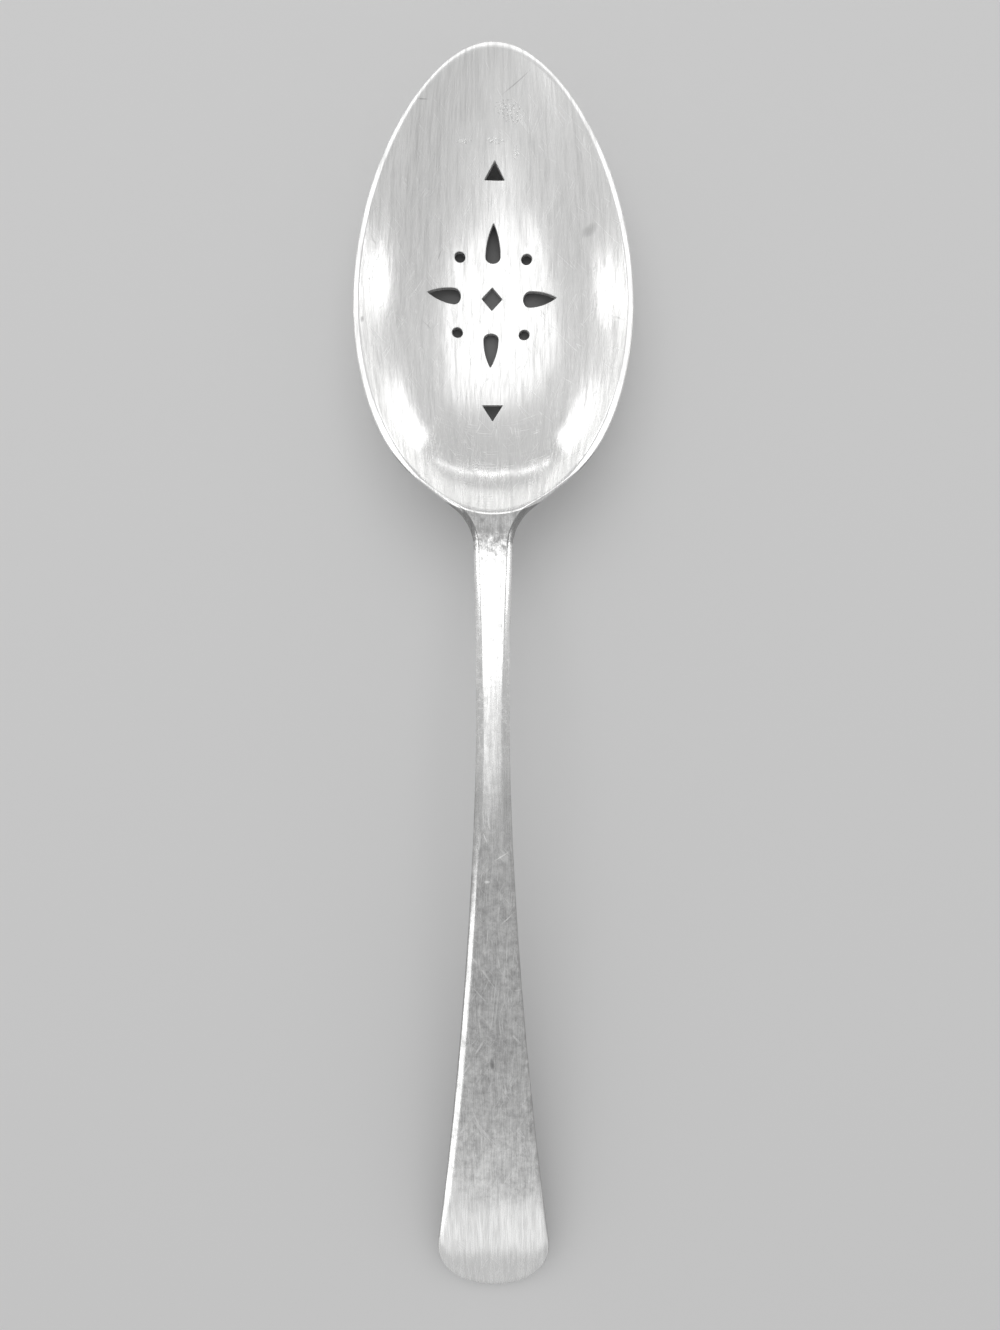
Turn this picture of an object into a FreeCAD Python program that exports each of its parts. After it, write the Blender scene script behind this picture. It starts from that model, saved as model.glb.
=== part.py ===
import FreeCAD, Part
import math
import os

os.makedirs("parts", exist_ok=True)

Vector = FreeCAD.Vector

# A pierced table spoon, struck from one blank of metal. It lies face up on z = 0, with the tip of its bowl
# towards +Y and the end of its stem towards -Y. Millimetres and degrees. A share of the bowl is 0 at its tip
# and 1 at its heel.

spoon_length = 215.2

# The bowl from above is an egg with its blunt end by the stem. Lean, squareness and skew shape its ends.
bowl_length = 77.9
bowl_width = 46.95
bowl_lean = 0.2
bowl_squareness = 0.06
bowl_skew = 0.2

# The hollow. It runs past the bowl's egg into the heel, up to the lip. Its wall share is 0 for a plain dish
# and grows as the floor flattens and the walls steepen.
hollow_depth = 10.9
heel_overrun = 1.25
hollow_lean = 0.174
hollow_squareness = 0.16
hollow_wall_share = 0.3
rim_width = 0.85
rim_edge_height = 0.75
floor_thickness = 1.15

# Shoulders: a straight run off the bowl's egg, at an angle to the spoon's length, then a curve to the stem.
shoulder_angle = 51.5
shoulder_radius = 9.0

# The stem from above. A share of the stem is 0 at the lip and 1 at the stem's end. The flare's width is the
# one it would reach at the very end, which is rounded to a half oval.
neck_width = 6.2
neck_from_lip = 7.85
waist_width = 5.25
waist_share = 0.249
flare_width = 22.15
flare_power = 1.66
end_round_length = 10.4

# The face from the side: how far each place stands above the middle of the bowl's rim.
tip_rise = 1.3
bowl_back_share = 0.733
bowl_back_rise = 1.2
lip_rise = 5.0
neck_rise = 7.6
arch_share = 0.278
arch_rise = 11.85
flank_share = 0.543
flank_rise = 8.85
turn_share = 0.837
turn_rise = 0.05
droop_share = 0.94
droop_rise = -4.85

# Thickness under that line, on the stem's centre and along its edges, before the bevel is taken off.
neck_thickness = 3.7
flank_thickness = 2.7
end_thickness = 1.8
neck_edge_thickness = 2.3
end_edge_thickness = 1.3
ridge_share = 0.8
crown_height = 0.12
heel_fade = 15.0
heel_blend = 1.2

# Bevel along the upper edge of the stem and round its end, narrowing to nothing along the shoulders. Its
# rounding is 0 for a flat bevel and grows as it steepens towards the edge.
stem_bevel_width = 0.9
stem_bevel_height = 0.9
end_bevel_width = 1.65
end_bevel_height = 0.5
bevel_rounding = 0.4
bevel_run_out = 7.0

# Piercings, around a centre in the bowl's floor. They are cut by hand, so their two axes are a little askew.
piercing_share = 0.497
piercing_offset = -0.3
long_axis_turn = -1.3
heel_triangle_turn = 0.3
cross_axis_turn = -2.4
diamond_width = 3.7
diamond_length = 4.2
tip_drop_length = 6.9
heel_drop_length = 6.4
long_drop_width = 2.65
long_drop_gap = 6.3
side_drop_length = 5.9
side_drop_width = 2.9
side_drop_gap = 5.6
drop_end_share = 0.8
dot_diameter = 1.9
dot_across = 5.95
dot_along = 6.75
dot_shift = 0.25
triangle_width = 3.65
triangle_length = 3.1
tip_triangle_gap = 19.95
heel_triangle_gap = 19.85

# Places along Y.
tip_y = spoon_length / 2
end_y = -spoon_length / 2
bowl_y = tip_y - bowl_length / 2
lip_y = tip_y - bowl_length - heel_overrun
hollow_length = tip_y - rim_width - lip_y
hollow_y = lip_y + hollow_length / 2
neck_y = lip_y - neck_from_lip
waist_y = lip_y + (end_y - lip_y) * waist_share
arch_y = lip_y + (end_y - lip_y) * arch_share
flank_y = lip_y + (end_y - lip_y) * flank_share
turn_y = lip_y + (end_y - lip_y) * turn_share
droop_y = lip_y + (end_y - lip_y) * droop_share
end_round_y = end_y + end_round_length
rim_height = hollow_depth + floor_thickness

# How far the dies reach past the blank's edge, ahead of its shoulders, and above and below it.
die_margin = 0.6
die_lead = 5.0
die_reach = 2 * (rim_height + arch_rise)
bevel_step = 5.0


def bowl_half_width(y):
    """Half the width of the bowl's egg at a place along it."""
    t = (y - bowl_y) * 2 / bowl_length
    stretch = 1 + bowl_lean * t + bowl_squareness * t * t + bowl_skew * t ** 3
    return bowl_width / 2 * math.sqrt(max(0.0, 1 - t * t) / stretch)


def stem_half_width(y):
    """Half the width of the stem: narrowest at the waist, a little wider at the neck, flaring to the end."""
    if y > waist_y:
        share = (y - waist_y) / (neck_y - waist_y)
        return waist_width / 2 + (neck_width - waist_width) / 2 * share * share
    share = (waist_y - y) / (waist_y - end_y)
    return waist_width / 2 + (flare_width - waist_width) / 2 * share ** flare_power


def slope(function, y):
    """Rate of change of a function of y."""
    step = 0.001
    return (function(y + step) - function(y - step)) / (2 * step)


def crossing(function, low, high):
    """The place between low and high where a function changes sign."""
    low_sign = function(low) > 0
    for _ in range(60):
        middle = (low + high) / 2
        if (function(middle) > 0) == low_sign:
            low = middle
        else:
            high = middle
    return (low + high) / 2


def off_side(y, distance):
    """The point at a distance out from the stem's side, square to it."""
    run = slope(stem_half_width, y)
    step = distance / math.hypot(1, run)
    return Vector(stem_half_width(y) + step, y - run * step, 0)


# The shoulder's straight run leaves the egg where the egg reaches its angle, and its curve leaves the stem
# where it also touches that run.
shoulder_slope = math.tan(math.radians(shoulder_angle))
shoulder_cosine = math.cos(math.radians(shoulder_angle))
shoulder_sine = math.sin(math.radians(shoulder_angle))
bowl_heel_y = bowl_y - bowl_length * 0.49
shoulder_top_y = crossing(lambda y: slope(bowl_half_width, y) - shoulder_slope, bowl_heel_y, bowl_y)
shoulder_top = Vector(bowl_half_width(shoulder_top_y), shoulder_top_y, 0)


def shoulder_miss(y):
    """How much too far an arc that leaves the stem's side at y stays from the shoulder's straight run."""
    centre = off_side(y, shoulder_radius)
    run_x = shoulder_top.x + (centre.y - shoulder_top.y) * shoulder_slope
    return (centre.x - run_x) * shoulder_cosine - shoulder_radius


shoulder_foot_y = crossing(shoulder_miss, waist_y, shoulder_top_y)
shoulder_foot = off_side(shoulder_foot_y, 0)
shoulder_centre = off_side(shoulder_foot_y, shoulder_radius)
shoulder_joint = shoulder_centre + Vector(-shoulder_cosine, shoulder_sine, 0) * shoulder_radius


def end_oval_share(y):
    """How wide the end's oval is at a place, as a share of its widest."""
    return math.sqrt(1 - ((y - end_round_y) / end_round_length) ** 2)


def end_miss(y):
    """How much more the stem's side flares at y than an oval that leaves it there."""
    return slope(stem_half_width, y) / stem_half_width(y) - slope(end_oval_share, y) / end_oval_share(y)


# The end's oval leaves the stem's side where it also has its direction.
end_round_top_y = crossing(end_miss, end_round_y, end_round_y + end_round_length * 0.9)
end_round_half_width = stem_half_width(end_round_top_y) / end_oval_share(end_round_top_y)


def half_width(y):
    """Half the width of the blank. Past its widest place and its rounded end, the width is carried on."""
    if y > shoulder_top.y:
        return bowl_half_width(min(y, bowl_y))
    if y > shoulder_joint.y:
        return shoulder_top.x + (y - shoulder_top.y) * shoulder_slope
    if y > shoulder_foot.y:
        return shoulder_centre.x - math.sqrt(shoulder_radius ** 2 - (y - shoulder_centre.y) ** 2)
    return stem_half_width(y)


def fade(y, start, length):
    """1 before start, 0 after start + length, and smooth between."""
    share = min(1.0, max(0.0, (y - start) / length))
    return 1 - share * share * (3 - 2 * share)


def along(stops, y):
    """A size that changes evenly between (place, size) stops, and keeps its value past the first and last."""
    for (low, low_size), (high, high_size) in zip(stops, stops[1:]):
        if y < high:
            share = max(0.0, (y - low) / (high - low))
            return low_size + (high_size - low_size) * share
    return stops[-1][1]


def curve_through(points, parameters):
    """A smooth curve that passes each point at its parameter."""
    curve = Part.BSplineCurve()
    curve.interpolate(Points=points, Parameters=parameters)
    return curve


# The face line is a smooth curve through its places.
face_stops = [
    (end_y, end_thickness),
    (droop_y, rim_height + droop_rise),
    (turn_y, rim_height + turn_rise),
    (flank_y, rim_height + flank_rise),
    (arch_y, rim_height + arch_rise),
    (neck_y, rim_height + neck_rise),
    (lip_y, rim_height + lip_rise),
    (tip_y + (lip_y - tip_y) * bowl_back_share, rim_height + bowl_back_rise),
    (hollow_y, rim_height),
    (tip_y, rim_height + tip_rise),
]
face_curve = curve_through([Vector(0, y, z) for y, z in face_stops], [y for y, z in face_stops])


def face_line(y):
    """Height of the face on the centre line, carried on straight past both ends."""
    inside = min(tip_y, max(end_y, y))
    point, tangent = face_curve.getD1(inside)
    return point.z + (y - inside) * tangent.z / tangent.y


def face_height(x, y):
    """The face: its line, gently crowned along the stem."""
    crown = crown_height * (x / stem_half_width(min(y, neck_y))) ** 2 * fade(y, neck_y - heel_fade, heel_fade)
    return face_line(y) - crown


def bevel_foot(y):
    """Distance from the edge in to the foot of the bevel. It is negative where the bevel has run out."""
    full = along([(end_y, end_bevel_width), (neck_y, stem_bevel_width)], y)
    return full * (1 - max(0.0, y - lip_y) / bevel_run_out)


def bevel_drop(inward, y):
    """How far the bevel lies under the face, at a distance in from the edge. Past its foot it lies above."""
    width = along([(end_y, end_bevel_width), (neck_y, stem_bevel_width)], y)
    height = along([(end_y, end_bevel_height), (neck_y, stem_bevel_height)], y)
    outward = bevel_foot(y) - inward
    return height * outward * (1 + bevel_rounding * outward) / (width * (1 + bevel_rounding * width))


def dish_rise(x, y, growth):
    """Rise of the hollow's surface, from 0 at its floor to 1 at its rim, with its egg grown outwards."""
    t = (y - hollow_y) / (hollow_length / 2 + growth)
    across = x / (bowl_width / 2 - rim_width + growth)
    share = t * t + across * across * (1 + hollow_lean * t + hollow_squareness * t * t)
    return share * (1 - hollow_wall_share + hollow_wall_share * share)


def hollow_height(x, y):
    """The floor of the hollow."""
    return face_line(y) - hollow_depth * (1 - dish_rise(x, y, 0))


def back_height(x, y):
    """The back: the bowl's dish or the stem's ridge, whichever is deeper, blended where they meet."""
    dish = rim_edge_height + (rim_height - rim_edge_height) * (1 - dish_rise(x, y, rim_width))
    ridge_half_width = ridge_share * stem_half_width(min(y, neck_y))
    ridge = math.exp(-((x / ridge_half_width) ** 4))
    middle = along([(end_y, end_thickness), (flank_y, flank_thickness), (neck_y, neck_thickness)], y)
    edge = along([(end_y, end_edge_thickness), (neck_y, neck_edge_thickness)], y)
    stay = fade(y, lip_y, shoulder_top.y - lip_y)
    stem = rim_edge_height + (edge + (middle - edge) * ridge - rim_edge_height) * stay
    stem -= rim_height * (1 - fade(y, shoulder_top.y, heel_fade))
    near = max(0.0, 1 - abs(dish - stem) / heel_blend)
    return face_line(y) - max(dish, stem) - heel_blend / 4 * near * near


def places(*runs):
    """Places along Y. Each run is (last place, step), and starts where the one before it ended."""
    found = [end_y - die_margin]
    for last, step in runs:
        first = found[-1]
        count = max(1, round((last - first) / step))
        found += [first + (last - first) * (i + 1) / count for i in range(count)]
    return found


def die(rows, row_parameters, column_parameters):
    """A smooth face through a grid of points: a curve along each row, then curves across the rows' poles."""
    row_curves = [curve_through(row, column_parameters) for row in rows]
    pole_rows = [curve.getPoles() for curve in row_curves]
    pole_curves = [curve_through(list(poles), row_parameters) for poles in zip(*pole_rows)]
    surface = Part.BSplineSurface()
    surface.buildFromPolesMultsKnots(
        [list(poles) for poles in zip(*[curve.getPoles() for curve in pole_curves])],
        pole_curves[0].getMultiplicities(),
        row_curves[0].getMultiplicities(),
        pole_curves[0].getKnots(),
        row_curves[0].getKnots(),
        False,
        False,
        pole_curves[0].Degree,
        row_curves[0].Degree,
    )
    return surface.toShape()


def even_die(height, half, count, stations):
    """A smooth face through the heights at each station, at even places across from -half to half."""
    shares = [i / count for i in range(-count, count + 1)]
    rows = []
    for y in stations:
        across = [half(y) * share for share in shares]
        rows.append([Vector(x, y, height(x, y)) for x in across])
    return die(rows, stations, shares)


def arc(centre, start, end):
    """The shorter arc about a centre from start to end."""
    middle = (start - centre) + (end - centre)
    return Part.Arc(start, centre + middle.normalize() * (start - centre).Length, end).toShape()


def spline(points, first_tangent, last_tangent):
    """A smooth edge through points, along a direction at each end."""
    curve = Part.BSplineCurve()
    curve.interpolate(
        Points=points,
        InitialTangent=first_tangent.normalize(),
        FinalTangent=last_tangent.normalize(),
        Scale=False,
    )
    return curve.toShape()


def outline_half():
    """Edges of the blank's right side from above, in order from the tip of the bowl to the end of the stem."""
    egg_steps = 24
    egg = [Vector(0, tip_y, 0)]
    for i in range(1, egg_steps + 1):
        y = shoulder_top.y + (tip_y - shoulder_top.y) * math.cos(math.pi / 2 * i / egg_steps)
        egg.append(Vector(bowl_half_width(y), y, 0))
    side_steps = 12
    side = []
    for i in range(side_steps + 1):
        y = shoulder_foot.y + (end_round_top_y - shoulder_foot.y) * i / side_steps
        side.append(off_side(y, 0))
    end_steps = 12
    end_start = math.asin((end_round_top_y - end_round_y) / end_round_length)
    end = []
    for i in range(end_steps + 1):
        turn = end_start - (end_start + math.pi / 2) * i / end_steps
        y = end_round_y + end_round_length * math.sin(turn)
        end.append(Vector(end_round_half_width * math.cos(turn), y, 0))
    end_direction = Vector(-slope(stem_half_width, end_round_top_y), -1, 0)
    return [
        spline(egg, Vector(1, 0, 0), Vector(-shoulder_slope, -1, 0)),
        Part.makeLine(shoulder_top, shoulder_joint),
        arc(shoulder_centre, shoulder_joint, shoulder_foot),
        spline(side, Vector(-slope(stem_half_width, shoulder_foot.y), -1, 0), end_direction),
        spline(end, end_direction, Vector(-1, 0, 0)),
    ]


def die_half_width(y):
    """Half the width of a die: past the blank's edge, and ahead of it where the shoulders widen."""
    return max(half_width(y), half_width(y + die_lead)) + die_margin


def bevel_die():
    """The bevel: a strip along the outline from one shoulder, round the end, to the other shoulder."""
    right = []
    for edge in outline_half():
        count = math.ceil(edge.Length / bevel_step)
        for i in range(count):
            along_edge = edge.getParameterByLength(edge.Length * (i + 0.5) / count)
            point, tangent = edge.valueAt(along_edge), edge.tangentAt(along_edge)
            if point.y < lip_y + bevel_run_out + bevel_step:
                right.append((point, Vector(tangent.y, -tangent.x, 0)))
    shares = (0, 0.33, 0.67, 1)
    rows = []
    for point, inward in right:
        row = []
        for share in shares:
            distance = (bevel_foot(point.y) + die_margin) * share - die_margin * (1 - share)
            place = point + inward * distance
            row.append(Vector(place.x, place.y, face_height(place.x, place.y) - bevel_drop(distance, point.y)))
        rows.append(row)
    rows += [[Vector(-p.x, p.y, p.z) for p in row] for row in reversed(rows)]
    lengths = [0.0]
    for row, next_row in zip(rows, rows[1:]):
        lengths.append(lengths[-1] + (next_row[1] - row[1]).Length)
    return die(rows, lengths, shares)


def blank():
    """The struck blank: the outline's prism under the face and the bevel, and above the back."""
    up = Vector(0, 0, die_reach)
    right = outline_half()
    left = [edge.mirror(Vector(0, 0, 0), Vector(1, 0, 0)) for edge in right]
    wire = Part.Wire(Part.__sortEdges__(right + left))
    wire.translate(Vector(0, 0, -1))
    past_tip = tip_y + die_margin
    face = even_die(face_height, die_half_width, 4, places((neck_y, 6), (shoulder_top.y, 2.5), (past_tip, 5)))
    stations = places((neck_y, 7), (lip_y + heel_fade, 2), (past_tip, 4))
    back = even_die(back_height, die_half_width, 7, stations)
    prism = Part.Face(wire).extrude(up)
    return prism.cut(face.extrude(up)).cut(bevel_die().extrude(up)).cut(back.extrude(-up))


def hollow():
    """What the hollow's punch takes out of the blank."""
    stations = [y for y in places((tip_y + die_margin, 4)) if y > lip_y - die_lead]
    floor = even_die(hollow_height, lambda y: bowl_width / 2 + die_margin, 6, stations)
    return floor.extrude(Vector(0, 0, die_reach))


def drop(length, width, gap):
    """A drop that points along +Y: a blunt half-oval end, and two arcs that meet in a point."""
    half = width / 2
    belly = gap + half * drop_end_share
    tip = Vector(0, gap + length, 0)
    reach = tip.y - belly
    radius = (reach * reach + half * half) / (2 * half)
    left, right = Vector(-half, belly, 0), Vector(half, belly, 0)
    oval = Part.Ellipse(right, Vector(0, gap + 2 * (belly - gap), 0), Vector(0, belly, 0))
    end = Part.ArcOfEllipse(oval, math.pi, 2 * math.pi).toShape()
    right_side = arc(Vector(right.x - radius, belly, 0), right, tip)
    left_side = arc(Vector(left.x + radius, belly, 0), left, tip)
    return Part.Face(Part.Wire(Part.__sortEdges__([end, right_side, left_side])))


def polygon(*corners):
    """A flat face with straight sides."""
    return Part.Face(Part.makePolygon([Vector(x, y, 0) for x, y in corners + corners[:1]]))


def triangle(gap):
    """A triangle that points along +Y."""
    half = triangle_width / 2
    return polygon((-half, gap), (half, gap), (0, gap + triangle_length))


def diamond():
    """A diamond about the origin."""
    across, along_y = diamond_width / 2, diamond_length / 2
    return polygon((across, 0), (0, along_y), (-across, 0), (0, -along_y))


def dot(across, along_y):
    """A round hole."""
    return Part.Face(Part.Wire(Part.makeCircle(dot_diameter / 2, Vector(across, along_y, 0))))


def piercings():
    """The punches for every opening, turned about the pattern's centre and set in the bowl's floor."""
    centre = Vector(piercing_offset, tip_y - bowl_length * piercing_share, 0)
    faces = [
        (diamond(), long_axis_turn),
        (drop(tip_drop_length, long_drop_width, long_drop_gap), long_axis_turn),
        (drop(heel_drop_length, long_drop_width, long_drop_gap), long_axis_turn + 180),
        (drop(side_drop_length, side_drop_width, side_drop_gap), cross_axis_turn + 90),
        (drop(side_drop_length, side_drop_width, side_drop_gap), cross_axis_turn - 90),
        (triangle(tip_triangle_gap), long_axis_turn),
        (triangle(heel_triangle_gap), heel_triangle_turn + 180),
    ]
    dots_turn = (long_axis_turn + cross_axis_turn) / 2
    for across in (-dot_across, dot_across):
        for along_y in (-dot_along, dot_along):
            faces.append((dot(across, along_y + dot_shift), dots_turn))
    punches = []
    for face, turn in faces:
        face.rotate(Vector(0, 0, 0), Vector(0, 0, 1), turn)
        face.translate(centre)
        face.translate(Vector(0, 0, -die_reach / 2))
        punches.append(face.extrude(Vector(0, 0, die_reach)))
    return punches


spoon = blank().cut(hollow()).cut(piercings())
spoon = spoon.Solids[0]
spoon.exportStep("parts/pierced_spoon.step")
print("spoon", spoon.isValid(), spoon.ShapeType, len(spoon.Faces), spoon.Volume, spoon.CenterOfMass)
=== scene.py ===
import bpy
import numpy as np
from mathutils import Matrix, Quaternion, Vector, geometry


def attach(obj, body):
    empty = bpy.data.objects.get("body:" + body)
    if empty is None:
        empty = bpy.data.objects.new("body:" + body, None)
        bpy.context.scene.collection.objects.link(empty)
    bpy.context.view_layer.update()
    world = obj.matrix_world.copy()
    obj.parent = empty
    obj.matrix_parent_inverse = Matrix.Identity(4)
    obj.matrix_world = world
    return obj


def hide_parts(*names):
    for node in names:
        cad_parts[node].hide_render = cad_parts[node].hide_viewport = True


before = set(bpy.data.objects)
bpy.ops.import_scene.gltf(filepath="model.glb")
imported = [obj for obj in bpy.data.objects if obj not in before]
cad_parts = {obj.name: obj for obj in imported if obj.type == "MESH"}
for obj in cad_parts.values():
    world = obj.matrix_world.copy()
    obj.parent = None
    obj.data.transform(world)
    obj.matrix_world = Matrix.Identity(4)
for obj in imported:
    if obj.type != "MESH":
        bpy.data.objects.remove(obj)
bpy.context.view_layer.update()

# Sizes of the spoon in millimetres and degrees. A share of the stem is 0 at the bowl's lip and 1 at the end.
# A rise is counted from the middle of the bowl's rim. Pairs give a size at the stem's end and at its neck.
spoonSizes = {
    "length": 215.2,
    "bowl": {"length": 77.9, "width": 46.95, "lean": 0.2, "squareness": 0.06, "skew": 0.2},
    "hollow": {"depth": 10.9, "overrun": 1.25, "lean": 0.174, "squareness": 0.16, "wallShare": 0.3},
    "rim": {"width": 0.85, "edge": 0.75, "floor": 1.15},
    "shoulder": {"angle": 51.5, "radius": 9.0},
    "stem": {
        "neck": 6.2, "neckFromLip": 7.85, "waist": 5.25, "waistShare": 0.249, "flare": 22.15, "power": 1.66,
    },
    "endRound": 10.4,
    "stemRises": [(0.94, -4.85), (0.837, 0.05), (0.543, 8.85), (0.278, 11.85)],
    "rises": {"neck": 7.6, "lip": 5.0, "bowlBack": 1.2, "tip": 1.3},
    "bowlBackShare": 0.733,
    "flankShare": 0.543,
    "thickness": {"end": 1.8, "flank": 2.7, "neck": 3.7},
    "edgeThickness": (1.3, 2.3),
    "ridgeShare": 0.8,
    "crown": 0.12,
    "heel": {"fade": 15.0, "blend": 1.2},
    "bevel": {"width": (1.65, 0.9), "height": (0.5, 0.9), "rounding": 0.4, "runOut": 7.0, "pastRunOut": 2},
    "stemLoopPastLip": 16,
    "edgeRadius": 0.25,
    "rimRounding": 0.3,
    "bevelRounding": 0.15,
}
tipY = spoonSizes["length"] / 2
endY = -tipY
bowlY = tipY - spoonSizes["bowl"]["length"] / 2
lipY = tipY - spoonSizes["bowl"]["length"] - spoonSizes["hollow"]["overrun"]
hollowReach = (tipY - spoonSizes["rim"]["width"] - lipY) / 2
hollowY = lipY + hollowReach
neckY = lipY - spoonSizes["stem"]["neckFromLip"]
waistY, flankY = (
    lipY + (endY - lipY) * share for share in (spoonSizes["stem"]["waistShare"], spoonSizes["flankShare"])
)
rimHeight = spoonSizes["hollow"]["depth"] + spoonSizes["rim"]["floor"]

# How closely the mesh follows the form, in millimetres and degrees. Counts are the points of a run before it
# is walked again at an even step. The mesh is closer in the bands at the shoulders, the tip and the end.
meshSteps = {
    "outlineCounts": {"egg": 1200, "shoulder": 60, "arc": 120, "side": 1200, "end": 400},
    "edge": 0.6, "edgeAtShoulders": 0.34, "edgeAtEnds": 0.34,
    "shoulderBand": (32, 9), "tipBand": 8, "endBand": 9,
    "rings": [0.38, 0.5, 0.61, 0.72, 0.83, 0.94, 1.05, 1.16, 1.28, 1.45, 1.75, 2.2],
    "narrowFromEnd": 15, "ringToMiddle": 0.45,
    "lipRows": [-0.7, -0.5, -0.36, -0.24, -0.14, -0.05, 0.05, 0.14, 0.24, 0.36, 0.5, 0.7],
    "lipCount": 130, "lipTurns": (-150, -30), "lipStart": 20, "lipToRings": 0.25,
    "field": 0.78, "fieldRow": 0.87, "fieldAcross": (-24, 24.1), "fieldToRings": 0.3,
    "fieldToLip": 0.4, "lipBand": (3, 6),
    "fineLoop": 0.03, "fineReach": 12, "piercing": 0.14, "piercingRings": [0.24, 0.42],
    "piercingCounts": {"side": 60, "end": 40, "dot": 60}, "fieldToPiercing": 0.7, "piercingReach": 6,
    "edgeTurns": (22.5, 45, 67.5, 90), "edgeShare": 0.45,
}


# Half the width of the bowl's egg: half an ellipse, divided by a slow cubic that shapes its ends.
def bowlHalfWidth(y):
    bowl = spoonSizes["bowl"]
    t = (y - bowlY) * 2 / bowl["length"]
    stretch = 1 + bowl["lean"] * t + bowl["squareness"] * t**2 + bowl["skew"] * t**3
    return bowl["width"] / 2 * np.sqrt(np.maximum(0, 1 - t**2) / stretch)


# Half the width of the stem: its waist plus a square towards the neck, and plus a power towards the end.
def stemHalfWidth(y):
    stem = spoonSizes["stem"]
    up = np.maximum(0, y - waistY) / (neckY - waistY)
    down = np.maximum(0, waistY - y) / (waistY - endY)
    width = stem["waist"] + (stem["neck"] - stem["waist"]) * up**2
    return (width + (stem["flare"] - stem["waist"]) * down ** stem["power"]) / 2


# Rate of change by a small central difference.
def rate(function, y):
    step = 0.001
    return (function(y + step) - function(y - step)) / (2 * step)


# Where a function changes sign between two places, by halving sixty times.
def crossing(function, low, high):
    lowSign = function(low) > 0
    for _ in range(60):
        middle = (low + high) / 2
        low, high = (middle, high) if (function(middle) > 0) == lowSign else (low, middle)
    return (low + high) / 2


# A point off the stem's side by a distance, square to it.
def offSide(y, distance):
    run = rate(stemHalfWidth, y)
    step = distance / np.hypot(1, run)
    return np.array([stemHalfWidth(y) + step, y - run * step])


# Points of an arc about a centre between two points on it, the short way round.
def arcPoints(centre, start, stop, count):
    first = np.arctan2(*(start - centre)[::-1])
    turn = (np.arctan2(*(stop - centre)[::-1]) - first + np.pi) % (2 * np.pi) - np.pi
    angle = first + turn * np.linspace(0, 1, count)
    return centre + np.hypot(*(start - centre)) * np.stack([np.cos(angle), np.sin(angle)], 1)


# The right half of the outline from tip to end: egg, straight shoulder, shoulder arc, side, and half an oval
# that leaves the side where both have one direction.
def rightOutline():
    slope = np.tan(np.radians(spoonSizes["shoulder"]["angle"]))
    radius = spoonSizes["shoulder"]["radius"]
    counts = meshSteps["outlineCounts"]
    eggHeelY = bowlY - spoonSizes["bowl"]["length"] * 0.49
    topY = crossing(lambda y: rate(bowlHalfWidth, y) - slope, eggHeelY, bowlY)
    top = np.array([bowlHalfWidth(topY), topY])
    away = np.array([-1, slope]) / np.hypot(1, slope)

    def shoulderMiss(y):
        centre = offSide(y, radius)
        return (centre[0] - top[0] - (centre[1] - topY) * slope) / np.hypot(1, slope) - radius

    footY = crossing(shoulderMiss, waistY, topY)
    centre = offSide(footY, radius)
    joint = centre + away * radius
    reach = spoonSizes["endRound"]

    def oval(y):
        return np.sqrt(1 - ((y - endY) / reach - 1) ** 2)

    def endMiss(y):
        return rate(stemHalfWidth, y) / stemHalfWidth(y) - rate(oval, y) / oval(y)

    leaveY = crossing(endMiss, endY + reach, endY + reach * 1.9)
    turn = np.linspace(np.arcsin((leaveY - endY) / reach - 1), -np.pi / 2, counts["end"])
    endHalfWidth = stemHalfWidth(leaveY) / oval(leaveY)
    eggY = topY + (tipY - topY) * np.cos(np.linspace(0, np.pi / 2, counts["egg"]))
    sideY = np.linspace(footY, leaveY, counts["side"])
    runs = [
        np.stack([bowlHalfWidth(eggY), eggY], 1),
        top + (joint - top) * np.linspace(0, 1, counts["shoulder"])[:, None],
        arcPoints(centre, joint, offSide(footY, 0), counts["arc"]),
        np.stack([stemHalfWidth(sideY), sideY], 1),
        np.stack([endHalfWidth * np.cos(turn), endY + reach * (1 + np.sin(turn))], 1),
    ]
    return np.concatenate([run if i == 0 else run[1:] for i, run in enumerate(runs)]), topY


# A line walked again at an even step, which changes along it.
def walked(points, stepAt):
    lengths = np.concatenate([[0], np.cumsum(np.hypot(*np.diff(points, axis=0).T))])
    middle = (points[1:] + points[:-1]) / 2
    steps = np.concatenate([[0], np.cumsum(np.diff(lengths) / stepAt(middle))])
    wanted = np.linspace(0, steps[-1], int(round(steps[-1])) + 1)
    return np.stack([np.interp(wanted, steps, points[:, k]) for k in (0, 1)], 1)


# Whether points lie inside a closed loop: an odd number of its sides cross the line to the point's left.
def inside(points, loop):
    x, y = points[:, :1], points[:, 1:]
    low, high = loop, np.roll(loop, -1, 0)
    spans = (low[:, 1] > y) != (high[:, 1] > y)
    rise = high[:, 1] - low[:, 1]
    at = low[:, 0] + (y - low[:, 1]) * (high[:, 0] - low[:, 0]) / np.where(rise == 0, 1, rise)
    return np.sum(spans & (at < x), 1) % 2 == 1


# Distance from points to the nearest side of a closed loop, in portions that fit the memory.
def distanceTo(points, loop):
    found, portion = [], 2000
    side = np.roll(loop, -1, 0) - loop
    for part in np.array_split(points, max(1, len(points) // portion)):
        off = part[:, None] - loop
        share = np.clip(np.sum(off * side, 2) / np.sum(side * side, 1), 0, 1)
        found.append(np.sqrt(np.min(np.sum((off - share[..., None] * side) ** 2, 2), 1)))
    return np.concatenate(found)


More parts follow.
